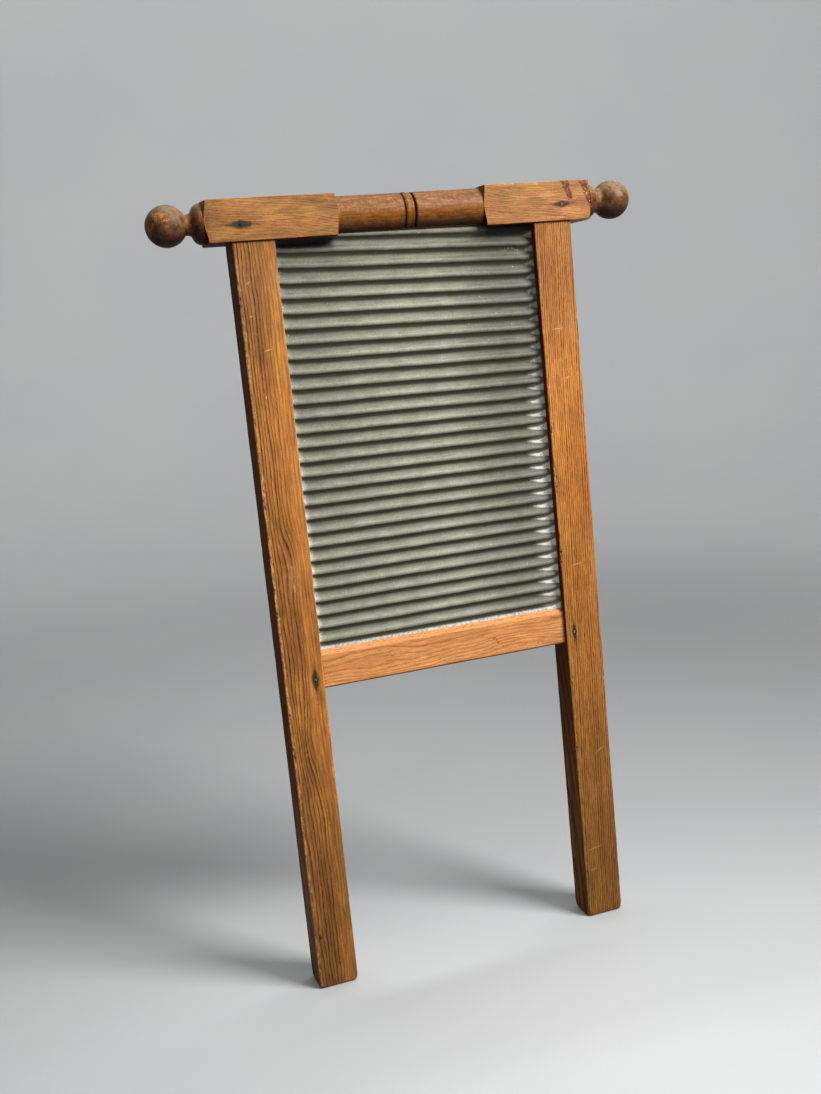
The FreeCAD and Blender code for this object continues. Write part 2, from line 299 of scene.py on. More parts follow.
def pine_surface(n, timber):
    """The colour, roughness and height of aged pine, with all that it carries."""
    x, y, z = n.split(n.position())
    across, depth, along = (z, y, x) if timber.along == "x" else (x, y, z)
    here = n.vector(across, depth, along)
    late = ring_pattern(n, timber, here, across, depth, along)
    point = n.position()
    fibres = n.noise(here, (1 / 1.9, 1 / 1.9, 16), 3, 0.65)
    streaks = n.noise(here, (1.2, 1.2, 20), 3, 0.6)
    nap = n.noise(here, (2, 2, 1.4), 3, 0.65)
    pores = n.noise(here, (1 / 2.6, 1 / 2.6, 2.4))
    broad = n.noise(here, (16, 16, 90), 3)
    patch = n.noise(here, (7, 7, 18), 4, 0.6)

    colour = n.mix(n.remap(broad, 0.36, 0.64), timber.light, timber.warm)
    colour = n.bright(colour, n.times(
        n.remap(fibres, 0.25, 0.75, 0.8, 1.2), n.remap(nap, 0.3, 0.7, 0.95, 1.06),
        n.remap(patch, 0.25, 0.75, 1 - timber.cloud, 1 + timber.cloud),
        n.remap(streaks, 0.3, 0.7, 1 - timber.streak, 1 + timber.streak)))
    hue = n.noise(n.shifted(here, (60, 20, 90)), (8, 8, 20), 3, 0.6)
    hue = n.mix(n.remap(hue, 0.36, 0.64), (1.06, 1.08, 0.8), (1.03, 0.93, 0.96))
    colour = n.mix(timber.mottle, colour, n.mix(1, colour, hue, "MULTIPLY"))
    strength = n.times(late, timber.contrast)
    if timber.fair:
        fair = n.remap(n.add(across, n.swing(broad, 8)), *timber.fair)
        strength = n.times(strength, n.remap(fair, 0, 1, 1, 0.5))
        colour = n.bright(colour, n.remap(fair, 0, 1, 0.94, 1.14))
    colour = n.mix(strength, colour, timber.dark)
    colour = n.mix(n.times(n.remap(pores, 0.58, 0.72), 0.45), colour, timber.dark)
    for knot in timber.knots:
        away = n.add(from_knot(n, across, along, knot, 0.7), n.swing(patch, 0.8))
        colour = n.mix(n.times(n.remap(away, 0.25, 0.75, 1, 0), knot[4]), colour, "#3e220f")
    colour = scored(n, timber.scratches, colour, across, along, 0.45, "#ecbe82")
    colour = scored(n, timber.cracks, colour, across, along, 0.5, "#5c2e12")
    colour = scored(n, timber.flecks, colour, across, along, 1.1, "#8c0e08")

    scuffs = n.noise(here, (1.3, 1.3, 3.2), 3)
    rubbed = n.times(n.attribute("bare"), n.remap(scuffs, 0.38, 0.56, 0.25, 1))
    colour = n.mix(rubbed, colour, "#de9e60")
    holes = n.noise(n.shifted(here, (31, 7, 53)), (1.2, 1.2, 2.4), 3)
    pitted = n.times(n.attribute("pitted"), n.remap(holes, 0.53, 0.6))
    colour = n.mix(pitted, colour, "#22120a")
    # Darkening carried by the mesh: partly dirt and stain, partly painted shade on left faces, undersides and
    # in grooves.
    grime_and_painted_shade = n.math("MULTIPLY", n.attribute("grime_and_painted_shade"), n.remap(fibres, 0.3, 0.7, 1.05, 0.9), clamp=True)
    colour = n.mix(grime_and_painted_shade, colour, "#421c0a")
    colour = stained(n, timber, colour, point)

    roughness = n.add(0.6, n.swing(patch, 0.25), n.times(rubbed, 0.15))
    height = n.add(n.times(strength, 0.7), n.times(fibres, 0.6), n.times(pores, -0.4))
    n.feed(n.shader.inputs["Specular IOR Level"], n.remap(grime_and_painted_shade, 0, 0.8, 0.22, 0.02))
    return colour, roughness, height, here, point


def pine(name, timber, damp=None):
    """Bare pine. A post is darkened at its foot by damp, (strength, height), and dulled by soap higher up."""
    n = Nodes(name)
    colour, roughness, height, here, point = pine_surface(n, timber)
    # each band: grain of its ragged edge and how far that reaches, levels, and the tone it multiplies by
    bands = (((8, 8, 60), 90, (60, damp[1], damp[0], 0), (0.42, 0.46, 0.34)),
             ((5, 5, 40), 60, (520, 630), (0.76, 0.8, 0.88))) if damp else ()
    for grain, raggedness, levels, tone in bands:
        level = n.add(n.split(point)[2], n.times(n.noise(here, grain), raggedness))
        colour = n.mix(n.remap(level, *levels), colour, n.scaled(colour, tone))
    return n.finish(colour, roughness, n.bump(height, 0.12))


def varnished_pine(name, timber, axis_z, drips):
    """Pine with a dark, worn coat of varnish wherever the mesh is "turned".

    drips are runs on the blocks: (x, height over the axis, half width, half height, slant)."""
    n = Nodes(name)
    colour, roughness, height, here, point = pine_surface(n, timber)
    x, _, z = n.split(point)
    up = n.add(z, -axis_z)
    sawn = n.remap(n.attribute("turned"), 0.42, 0.58, 1, 0)
    n.feed(n.shader.inputs["Specular IOR Level"], n.remap(n.attribute("grime_and_painted_shade"), 0, 0.8, 0.2, 0.02))

    chips = n.noise(point, 1.7)
    ragged = n.noise(point, 2.4, 3)
    for drip_x, drip_z, half_x, half_z, slant in drips:
        rise = n.times(n.add(up, -drip_z), 1 / half_z)
        across = n.add(x, -drip_x, n.times(rise, slant * half_z))
        half_width = n.add(half_x, n.times(rise, 0.35 * half_x))
        reach = n.most(n.math("DIVIDE", n.size(across), half_width), n.size(rise))
        run = n.remap(n.add(reach, n.swing(ragged, 1.2)), 0.72, 1.08, 1, 0)
        tone = n.mix(n.remap(ragged, 0.4, 0.6), "#481806", "#7c360e")
        colour = n.mix(n.times(run, 0.92), colour, tone)
        colour = n.mix(n.times(run, n.remap(chips, 0.67, 0.71), 0.9), colour, "#e2ceb2")

    # "worn" holds real scuffs and a painted rim light on the balls' tops.
    worn, on_ball = n.attribute("worn"), n.attribute("ball")
    blotch = n.noise(point, 8, 4, 0.6)
    flake = n.noise(point, 2.6, 4, 0.68)
    streak = n.noise(here, (1.2, 1.2, 14), 3)
    tool = n.noise(point, (0.7, 9, 9), 3)
    dust = n.noise(point, 0.9)
    # Painted light and shade on the turnings: the coat runs from dark at the bottom to a pale sheen at the
    # top.
    painted_light_level = n.add(up, n.swing(blotch, 14))
    coat = n.mix(n.remap(painted_light_level, -15, -1), "#2c1403", "#7c480c")
    coat = n.mix(n.remap(painted_light_level, 2, 11), coat, "#764c24")
    coat = n.bright(coat, n.times(
        n.remap(streak, 0.25, 0.75, 0.72, 1.25), n.remap(tool, 0.25, 0.75, 0.93, 1.08),
        n.remap(flake, 0.3, 0.7, 0.78, 1.22)))
    figure = n.noise(here, (0.9, 0.9, 24), 3, 0.65)
    coat = n.mix(n.times(n.remap(figure, 0.54, 0.64), n.remap(up, 8, -6), 0.7), coat, "#321406")
    # A painted sheen on the upper side, partly rubbed varnish.
    rubbed = n.remap(n.add(n.times(tool, 0.4), n.times(streak, 0.6), flake), 0.98, 1.24)
    coat = n.mix(n.times(rubbed, n.remap(up, -2, 9), 0.34), coat, "#b8885c")
    shell = n.mix(n.remap(blotch, 0.36, 0.66), "#442b15", "#7a4d26")
    # Painted sheen on the balls' tops and painted shade below them.
    shell = n.mix(n.times(n.remap(up, 0, 13), 0.7), shell, "#866b4c")
    shell = n.mix(n.times(n.remap(up, 1, -12), 0.85), shell, "#2e1006")
    shell = n.bright(shell, n.remap(flake, 0.3, 0.7, 0.6, 1.5))
    shell = n.mix(n.times(n.remap(flake, 0.6, 0.66), n.remap(blotch, 0.4, 0.55), 0.7), shell, "#1e1109")
    # Bare flakes where the varnish is worn off; through "worn" they also carry the painted rim light on the
    # balls' tops.
    bare_patch = n.remap(n.add(flake, n.times(blotch, 0.5), n.times(worn, 0.5)), 0.97, 1.04)
    shell = n.mix(bare_patch, shell, "#b26e42")
    coat = n.mix(on_ball, coat, shell)
    coat = n.mix(n.times(n.remap(dust, 0.7, 0.76), on_ball, 0.3), coat, "#c4aa88")
    # Painted shade on undersides and in grooves, with some dirt on the cut faces.
    coat = n.mix(n.attribute("grime_and_painted_shade"), coat, "#1e1008")

    coat_rough = n.add(0.3, n.times(flake, 0.3), n.times(bare_patch, on_ball, 0.2))
    coat_height = n.add(n.times(height, 0.4), n.times(flake, 0.8), n.times(tool, 0.5))
    height = n.between(sawn, coat_height, height)
    return n.finish(n.mix(sawn, coat, colour), n.between(sawn, coat_rough, roughness), n.bump(height, 0.13))


# ---- zinc and iron ----
def zinc(half_width, low_z, high_z, under_blocks):
    """Weathered zinc: painted light and shade along each rib, partly polished crests and dirt; a dark band
    under each crest, partly dirt and partly painted shade; a painted shadow under the blocks; white oxide at
    the ends.

    The mesh's "rib" grows by one from crest to crest. under_blocks are the ends of the overhanging blocks."""
    n = Nodes("weathered_zinc")
    point = n.position()
    x, _, z = n.split(point)
    mottle = n.noise(point, (14, 14, 8), 5, 0.6)
    tint = n.noise(n.shifted(point, (90, 0, 40)), (34, 34, 20), 3)
    scrub = n.noise(point, (0.8, 2, 7), 3, 0.6)
    grit = n.noise(point, (1.3, 1.3, 1.1), 3, 0.65)
    smear = n.noise(point, (15, 5, 1.6), 4, 0.6)
    bloom = n.noise(point, (2.2, 2.2, 1.7), 4, 0.7)
    waver = n.noise(point, (7, 7, 3), 4, 0.6)

    rib = n.add(n.attribute("rib"), n.swing(waver, 0.07))
    down = n.math("FRACT", n.times(rib, -1))
    from_end = n.math("SUBTRACT", half_width, n.size(x))
    right = n.remap(x, -20, 20)

    # Painted light and shade along each rib: brightest at the crest, darkest in the valley, partly also
    # polished crests and dirty valleys.
    shade = n.curve(down, ((0, 0.76), (0.1, 0.52), (0.42, 0.3), (0.6, 0.46), (0.9, 0.78), (1, 0.7)))
    # Painted shade under the top rail: the highest ribs turn darker and flatter.
    upper = n.remap(z, low_z + 285, low_z + 332)
    shade = n.between(n.times(upper, 0.6), shade, 0.34)
    body = n.mix(shade, "#3a3a2d", "#9c9b90")
    # Darker away from the middle, more to the right and higher up.
    away = n.remap(n.size(n.add(x, 6)), 22, 88)
    darker_off_middle = n.times(away, n.add(n.remap(z, low_z + 20, low_z + 260, 0.06, 0.18), n.times(right, 0.3)))
    body = n.bright(body, n.rest(darker_off_middle))
    hue = n.mix(n.remap(tint, 0.35, 0.65), (0.99, 1, 0.86), (1, 0.985, 0.95))
    body = n.mix(1, body, hue, "MULTIPLY")
    body = n.bright(body, n.times(
        n.remap(mottle, 0.28, 0.72, 0.82, 1.14), n.remap(scrub, 0.2, 0.8, 0.9, 1.1),
        n.remap(grit, 0.25, 0.75, 0.85, 1.15), n.remap(smear, 0.3, 0.7, 0.9, 1.1)))
    # A dark band under each crest, partly dirt and partly painted shade; it narrows towards the ends.
    narrow = n.times(n.remap(from_end, 1, 16, 0.1, 0), n.add(1, right))
    grime_and_painted_shade = n.times(n.remap(down, 0.075, 0.15), n.remap(n.add(down, narrow), 0.36, 0.52, 1, 0))
    body = n.mix(n.times(grime_and_painted_shade, 0.9), body, "#343325")
    # Painted shadow on the sheet just under the two overhanging blocks.
    under_block = n.most(n.remap(x, under_blocks[0] - 5, under_blocks[0] + 2, 1, 0),
                         n.remap(x, under_blocks[1] - 2, under_blocks[1] + 5))
    painted_block_shadow = n.remap(n.add(z, n.times(waver, 2)), high_z - 19, high_z - 11, 0, 0.95)
    body = n.mix(n.times(painted_block_shadow, under_block), body, "#1a1914")

    from_end = n.add(from_end, n.swing(bloom, 13))
    lower = n.remap(z, low_z + 150, low_z + 270, 1, 0.5)
    reach = n.times(n.remap(down, 0.42, 0.97, 27, 3), n.remap(down, 0.1, 0.2), lower)
    wedge = n.times(right, n.remap(from_end, n.times(reach, 0.6), reach, 1, 0), lower,
                    n.remap(bloom, 0.3, 0.5, 0.3, 1))
    crust = n.times(n.rest(right), n.remap(from_end, 6, 12, 0.9, 0),
                    n.remap(z, low_z + 60, low_z + 280, 1, 0.15), n.remap(bloom, 0.42, 0.56, 0.15, 1))
    tab = n.times(n.remap(z, low_z + 8.2, low_z + 10, 0.75, 0), n.remap(bloom, 0.34, 0.56, 0.35, 1))
    specks = n.noise(n.shifted(point, (37, 11, 5)), 1.5)
    near_left = n.remap(x, -114, -98, 0.085, 0)
    spots = n.remap(n.add(specks, near_left), 0.73, 0.77)
    body = n.mix(n.times(n.remap(specks, 0.28, 0.24), 0.75), body, "#1e1e18")
    crumbs = n.times(n.attribute("crumbs"), n.remap(n.noise(point, 1.1, 3), 0.54, 0.6))
    white = n.most(n.most(n.add(wedge, crust), tab), n.most(crumbs, n.times(spots, 0.6)))
    white = n.times(white, n.rest(n.times(grime_and_painted_shade, 0.85)))
    body = n.mix(n.times(white, 0.95), body, "#f0efe4")

    metal = n.times(n.math("SUBTRACT", 1, n.most(white, grime_and_painted_shade), clamp=True), 0.22)
    roughness = n.add(0.66, n.swing(mottle, 0.25), n.times(white, 0.25), n.times(grime_and_painted_shade, 0.2))
    height = n.add(n.times(scrub, 0.3), n.times(grit, 0.4), n.times(white, 0.8), n.times(mottle, 0.5))
    return n.finish(body, roughness, n.bump(height, 0.09), Metallic=metal, Specular_IOR_Level=0.3)


def iron():
    n = Nodes("rusted_iron")
    point = n.position()
    pits_and_glint = n.noise(point, 0.5, 4, 0.65)
    rust = n.noise(point, 1.3, 3)
    colour = n.mix(n.remap(rust, 0.35, 0.65), "#342e28", "#543a28")
    # Pale flecks on the dark iron are a painted glint.
    colour = n.mix(n.remap(pits_and_glint, 0.56, 0.66), colour, "#d8d4c8")
    return n.finish(colour, n.remap(pits_and_glint, 0.3, 0.7, 0.4, 0.7), n.bump(pits_and_glint, 0.15), Metallic=0.6)


# ---- mesh building ----
def mesh_object(name, points, faces, attributes=(), smooth=True):
    """A new object in metres, with one number per point for each attribute."""
    mesh = bpy.data.meshes.new(name)
    mesh.from_pydata((np.asarray(points) * MM).tolist(), [], faces)
    mesh.update()
    for key, values in dict(attributes).items():
        layer = mesh.attributes.new(key, "FLOAT", "POINT")
        layer.data.foreach_set("value", np.asarray(values, np.float32))
    mesh.polygons.foreach_set("use_smooth", [smooth] * len(mesh.polygons))
    piece = bpy.data.objects.new(name, mesh)
    bpy.context.scene.collection.objects.link(piece)
    return piece


def placed(piece, material, node):
    """Gives a finished piece its material and its part in the frame."""
    piece.data.materials.clear()
    piece.data.materials.append(material)
    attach(piece, "root")
    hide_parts(node)


def boxed_grid(axes):
    """Points and quads of a box with grid lines at the given places along its three axes."""
    index, points, faces = {}, [], []

    def corner(key):
        if key not in index:
            index[key] = len(points)
            points.append([axis[k] for axis, k in zip(axes, key)])
        return index[key]

    for fixed in range(3):
        u, v = (fixed + 1) % 3, (fixed + 2) % 3
        for end in (0, len(axes[fixed]) - 1):
            for i in range(len(axes[u]) - 1):
                for j in range(len(axes[v]) - 1):
                    quad = []
                    for di, dj in ((0, 0), (1, 0), (1, 1), (0, 1)):
                        key = [0, 0, 0]
                        key[fixed], key[u], key[v] = end, i + di, j + dj
                        quad.append(corner(tuple(key)))
                    faces.append(quad if end else quad[::-1])
    return np.array(points), faces


def grid_lines(low, high, step, margin=0, margin_step=None):
    """Places from low to high, closer together within a margin of each end."""
    if not margin:
        return np.linspace(low, high, max(2, round((high - low) / step) + 1))
    ends = np.linspace(0, margin, round(margin / margin_step) + 1)
    middle = np.linspace(low + margin, high - margin, max(2, round((high - low - 2 * margin) / step) + 1))
    return np.concatenate([low + ends[:-1], middle, high - ends[-2::-1]])


def board(low, high, *steps):
    """A sharp box, gridded along each axis by (step, margin, step in the margin)."""
    return boxed_grid([grid_lines(*ends, *step) for *ends, step in zip(low, high, steps)])


def rounded(points, low, high, radius):
    """A sharp box's points moved onto a box with rounded arrises, and the ways out of it."""
    radius = radius[:, None]
    inner = np.clip(points, low + radius, high - radius)
    away = points - inner
    distance = np.linalg.norm(away, axis=1, keepdims=True)
    outward = away / np.maximum(distance, 1e-6)
    return inner + outward * radius, outward


def chipped(points, seed, threshold, size):
    """Scattered, sharp-edged patches, from 0 to 1."""
    return ease(threshold, threshold + 0.25, rough(points, size, seed))


def angles(turns):
    return [math.tau * k / turns for k in range(turns)]


def skin(rows, columns, closed=True):
    """Quads between rows of points, each row joined to its start where closed."""
    faces = []
    for row in range(rows - 1):
        for k in range(columns if closed else columns - 1):
            a, b = row * columns + k, row * columns + (k + 1) % columns
            faces.append((a, b, b + columns, a + columns))
    return faces


def capped(rows, turns):
    """The faces of a tube of rings: its skin and its two ends."""
    return skin(rows, turns) + [tuple(range(turns))[::-1], tuple(range((rows - 1) * turns, rows * turns))]


def cylinder(centre, radius, low_y, high_y):
    """A peg that runs front to back at centre (x, z)."""
    turns = 24
    points = [(centre[0] + radius * math.cos(a), y, centre[1] + radius * math.sin(a))
              for y in (low_y, high_y) for a in angles(turns)]
    return points, capped(2, turns)


def cuboid(low, high):
    return boxed_grid(list(zip(low, high)))


def joinery(piece, cuts, tongues=()):
    """Cuts a piece's mortises, grooves and nail holes, and joins on its tongues."""
    for operation, group in (("DIFFERENCE", cuts), ("UNION", tongues)):
        for shape in group:
            tool = mesh_object("tool", *shape, smooth=False)
            modifier = piece.modifiers.new("joint", "BOOLEAN")
            modifier.operation = operation
            modifier.solver = "MANIFOLD"
            modifier.object = tool
            bpy.context.view_layer.update()
            shaped = piece.evaluated_get(bpy.context.evaluated_depsgraph_get())
            result = bpy.data.meshes.new_from_object(shaped)
            piece.modifiers.clear()
            piece.data = result
            bpy.data.objects.remove(tool)
    return piece


# ---- camera ----
LENS_MM = 39.36
CAMERA_AZIMUTH = 18.51  # degrees to the left of straight on
CAMERA_DROP = 9.1  # degrees below level
CAMERA_ROLL = 5.7  # degrees, the frame leans to the left in the picture
CAMERA_DISTANCE = 1.0247  # metres
AIM = (-0.0212, 0, 0.3685)  # metres


def camera():
    turn, drop, roll = (math.radians(a) for a in (CAMERA_AZIMUTH, CAMERA_DROP, CAMERA_ROLL))
    forward = Vector((math.sin(turn) * math.cos(drop), math.cos(turn) * math.cos(drop), -math.sin(drop)))
    side = forward.cross(Vector((0, 0, 1))).normalized()
    level_up = side.cross(forward)
    up = level_up * math.cos(roll) + side * math.sin(roll)
    right = forward.cross(up)
    data = bpy.data.cameras.new("camera")
    data.lens = LENS_MM
    data.clip_start = 0.02
    made = bpy.data.objects.new("camera", data)
    axes = Matrix((right, up, -forward)).transposed()
    made.matrix_world = Matrix.Translation(Vector(AIM) - forward * CAMERA_DISTANCE) @ axes.to_4x4()
    bpy.context.scene.collection.objects.link(made)
    bpy.context.scene.camera = made


# ---- joints shared by two pieces ----
SHEET_LOW, SHEET_HIGH = box("ribbed_sheet")
POST_LOW, POST_HIGH = box("right_post")
SHOULDER_Z = box("top_rail")[0][2]
GROOVE_PLAY = 0.1
MORTISE_PLAY = 0.2
TENON_BURY = 1  # how far a tongue's root reaches into its own piece
POST_TENON_HALF = (12, 6)  # half its width and half its thickness
POST_TENON_SET = 1.25  # how far its middle lies outside the post's
RAIL_TENON_HALF = 5  # half its thickness
RAIL_TENON_SPAN = (4, 24)  # heights of its lower and upper face over the rail's lower face
NAIL_SINK = 1.3  # depth of the wider hole that takes a nail's head
SHANK_HOLE_RADIUS = 1.15


def sheet_groove(low_x, high_x, low_z, high_z):
    return cuboid((low_x, SHEET_LOW[1] - GROOVE_PLAY, low_z), (high_x, SHEET_HIGH[1] + GROOVE_PLAY, high_z))


def post_tenon(side, root, play=0):
    """The tongue on top of a post, or with play its mortise."""
    middle_x = ((POST_LOW[0] + POST_HIGH[0]) / 2 + POST_TENON_SET) * side
    wide, thick = (half + play for half in POST_TENON_HALF)
    return cuboid((middle_x - wide, -thick, SHOULDER_Z - root), (middle_x + wide, thick, POST_HIGH[2] + play))


def rail_tenon(side, root, play=0):
    """The tongue on an end of the bottom rail, or with play its mortise."""
    low, high = box("bottom_rail")
    ends = sorted(((POST_LOW[0] - root) * side, (high[0] + play) * side))
    thick = RAIL_TENON_HALF + play
    bottom, top = (low[2] + height for height in RAIL_TENON_SPAN)
    return cuboid((ends[0], -thick, bottom - play), (ends[1], thick, top + play))


def nail_hole(node, side, front):
    """A nail's hole, sunk a little and wider than its head at the front."""
    low, high = box(node)
    head = (high[2] - low[2]) / 2
    centre = ((high[0] - head) * side, (low[2] + high[2]) / 2)
    return [cylinder(centre, head + 0.15, front - 2, front + NAIL_SINK),
            cylinder(centre, SHANK_HOLE_RADIUS, front, high[1] + 0.2)]


# ---- posts ----
def post(side, name):
    """One worn post, chipped on its left front arris, its foot softened by the tub."""
    low, high = box(name)
    high[2] = SHOULDER_Z
    sharp, faces = board(low, high, (1, 4, 0.5), (1.2, 4, 0.5), (1.7, 6, 0.75))
    x, y, z = sharp.T
    seed = 40 + side
    to_left = np.hypot(x - low[0], y - low[1])
    near_edge = ease(7, 1, to_left)
    wear = 1.2 + 0.3 * near_edge + 0.55 * rough(sharp, (9, 9, 34), seed)
    foot = ease(9, 0, z - low[2])
    chip = chipped(sharp, seed + 5, 0.22, (4, 4, 11)) * near_edge
    chip = np.maximum(chip, 0.6 * chipped(sharp, seed + 9, 0.55, (3, 3, 9)))
    below_top = 1 - ease(20, 2, high[2] - z)
    radius = np.clip(wear, 0.6, 2.4) + 2.2 * foot + 1.2 * chip * below_top
    radius = np.where(high[2] - z < 0.5, 0.3, radius)
    points, outward = rounded(sharp, low, high, radius)
    waver = 0.12 * rough(sharp, (14, 14, 60), seed + 2)
    splinter = 0.3 * chip * rough(sharp, (1.2, 1.2, 5), seed + 3, 2)
    points = points + outward * ((waver - 0.12 + splinter) * below_top)[:, None]

    worn = np.linalg.norm(sharp - points, axis=1)
    bare = ease(0.12, 0.42, worn) * (0.5 + 0.5 * chip) * (1 - 0.6 * foot)
    fray = to_left + 1.5 * rough(sharp, (2.2, 2.2, 7), seed + 11)
    strip = ease(3.3, 1.1, fray) * below_top
    bare = np.maximum(bare, strip * (0.8 if side == LEFT else 0.35))
    pitted = np.maximum(ease(5, 1, to_left) * chip, strip * (0.4 if side == LEFT else 0.2))
    # The left faces are darkened, painted shade with some dark stain, less where washed near the foot; the
    # back faces are a little darker too.
    leftward = ease(-0.75, -0.95, outward[:, 0])
    rearward = ease(0.75, 0.95, outward[:, 1])
    streaks = 0.5 + 0.5 * rough(sharp, (9, 3.5, 90), seed + 7, 2)
    washed = 0.4 * ease(300, 40, z) * (0.4 + streaks)
    grime_and_painted_shade = leftward * np.clip(0.9 - washed, 0, 1) + 0.25 * rearward
    piece = mesh_object(name + "_timber", points, faces, {"bare": bare, "pitted": pitted, "grime_and_painted_shade": grime_and_painted_shade})

    groove = sorted(((POST_LOW[0] - 1) * side, (SHEET_HIGH[0] + 0.5) * side))
    cuts = [sheet_groove(*groove, SHEET_LOW[2], high[2] + 1), rail_tenon(side, 1, MORTISE_PLAY)]
    cuts += nail_hole("bottom_rail_nails", side, low[1])
    return joinery(piece, cuts, [post_tenon(side, TENON_BURY)])


LEFT_PINE = Timber(
    along="z", light="#ae7031", warm="#935c26", dark="#3e1d09", ring=2.7,
    pith=(-330, 40), lean=(-0.01, 0.02), wobble=(4.6, 0.8), dashes=0.3,
    contrast=0.95, mottle=0.9, fair=(-131, -121),
    knots=((-127, 372, 4.5, -3.6, 0), (-134, 222, 5, 3.6, 0), (-142, 47, 2.5, 1.5, 0.9)),
    stains=((-120.4, -14, 272, 14, 4, 0.95),),
    scratches=((-138, 598, 3, 60), (-128, 545, 5, 75), (-139, 572, 2, 80), (-134, 508, 1.5, 10)))
RIGHT_PINE = Timber(
    along="z", light="#ba7730", warm="#a96828", dark="#52250a", ring=1.9,
    pith=(420, 60), lean=(0.03, 0), wobble=(1.6, 0.45), dashes=0.5,
    contrast=1.35, mottle=0.35, streak=0.24, cloud=0.07,
    stains=((120.4, -14, 272, 11, 3, 0.95), (129.9, -14, 267.6, 4.5, 0.9, 0.8)),
    scratches=((136.8, 158.9, 5, 62), (121.2, 45.9, 5, 80), (124, 66.1, 9, 82), (128, 333, 5.5, 84),
               (126, 540, 5, 88), (133, 498, 2, 40)))
for post_side, stem, timber, damp in ((LEFT, "left_post", LEFT_PINE, (0.75, 400)),
                                      (RIGHT, "right_post", RIGHT_PINE, (0.9, 540))):
    placed(post(post_side, stem), pine(stem + "_pine", timber, damp), stem)


# ---- bottom rail ----
def bottom_rail():
    """The cross rail: a planed bevel on its upper front edge, a worn lower one, and a sawn kerf."""
    bevel = np.array([0, -4, 4.4])
    low, high = box("bottom_rail")
    low[0], high[0] = -POST_LOW[0], POST_LOW[0]
    sharp, faces = board(low, high, (1.6,), (0.8, 4, 0.44), (0.8, 4, 0.5))
    x, y, z = sharp.T
    lower_front = ease(4, 0, z - low[2]) * ease(8, 2, y - low[1])
    radius = 0.9 + 1.3 * lower_front + 0.3 * rough(sharp, (25, 8, 8), 71)
    beyond = np.array([3, 0, 0])
    points, outward = rounded(sharp, low - beyond, high + beyond, radius)
    slope = bevel / np.linalg.norm(bevel)
    over = (points - [0, low[1], high[2] + bevel[1]]) @ slope
    points -= np.maximum(over, 0)[:, None] * slope
    inside = np.minimum(x - low[0], high[0] - x) > 0.5
    waver = 0.12 * rough(sharp, (50, 12, 12), 73) - 0.12
    points = points + outward * (waver * inside)[:, None]
    bevel_edge = ease(0.8, 0.1, np.abs(over)) * 0.5 + ease(0, 1, over) * 0.6
    # The underside is darkened as painted shade, and the lower front edge is darker too.
    underside = ease(0.5, 0.95, -outward[:, 2])
    lower_edge = ease(2.2, 0.8, z - low[2] + waver * 2)
    piece = mesh_object("bottom_rail_timber", points, faces, {
        "bare": np.clip(bevel_edge, 0, 1), "pitted": 0 * x,
        "grime_and_painted_shade": np.maximum(0.7 * underside, 0.75 * lower_edge)})
    middle_y = (SHEET_LOW[1] + SHEET_HIGH[1]) / 2
    kerf = cuboid((low[0] - 1, middle_y - 0.4, SHEET_LOW[2]), (high[0] + 1, middle_y + 0.4, high[2] + 1))
    return joinery(piece, [kerf], [rail_tenon(side, TENON_BURY) for side in SIDES])


BOTTOM_PINE = Timber(
    along="x", light="#cc8b52", warm="#be7e48", dark="#80461e", ring=2.5,
    pith=(330, 60), lean=(0.03, 0), wobble=(6, 1.1), dashes=0.4,
    contrast=0.7, mottle=0.45, streak=0.08,
    knots=((281, -54, 4, 3, 0), (272, 66, 6, 3, 0), (267, 85.7, 1, 0.3, 0.9)),
    cracks=((280.6, -55.5, 3.4, 25), (282.5, -52.4, 2.2, -60), (279.8, -51, 2, 10)),
    flecks=((278.6, 44.6, 2.2, 20), (276.6, 46.4, 1.4, 50), (274.3, 47.6, 1.9, 60), (269.9, 52.2, 1.2, 40)))
placed(bottom_rail(), pine("bottom_rail_pine", BOTTOM_PINE), "bottom_rail")


# ---- top rail ----
def run_on(path, *stops):
    """Carries a path straight on through stops (x, r, longest step)."""
    for x, r, step in stops:
        x0, r0 = path[-1]
        count = max(1, math.ceil(math.hypot(x - x0, r - r0) / step))
        path += [(x0 + (x - x0) * k / count, r0 + (r - r0) * k / count) for k in range(1, count + 1)]


def curve_on(path, middle, end, step):
    """Carries a path on along the arc through middle to end, in steps no longer than step."""
    a, b, c = (complex(*place) for place in (path[-1], middle, end))
    skew = (c - a) / (b - a)
    centre = a + (b - a) * (skew - abs(skew) ** 2) / (2j * skew.imag)
    first, via, last = (cmath.phase(place - centre) for place in (a, b, c))
    sweep = (last - first) % math.tau
    if (via - first) % math.tau > sweep:
        sweep -= math.tau
    radius = abs(a - centre)
    count = max(2, math.ceil(abs(sweep) * radius / step))
    places = [centre + cmath.rect(radius, first + sweep * k / count) for k in range(1, count + 1)]
    path += [(place.real, place.imag) for place in places]


def scooped(foot, corner):
    """The lathe's cut from a round neck up to a square block's corner."""
    return [(corner[0] + (foot[0] - corner[0]) * (1 - t) ** 2, foot[1] + (corner[1] - foot[1]) * t)
            for t in np.linspace(0, 1, 17)]


BALL_RADIUS = 16.4
BALL_OFFSET = 194
BLOCK_OUTER = 164.8
LEFT_BLOCK_INNER, RIGHT_BLOCK_INNER = -60.9, 69
NECK_RADIUS = {LEFT: 8.5, RIGHT: 11}
SHOULDER_RADIUS = 16.1
CORNER_RADIUS = 23.8
CENTRE_RADIUS = 15.8
BEAD_CENTRE = 2
GROOVES = (BEAD_CENTRE - 3.5, BEAD_CENTRE + 5.15)


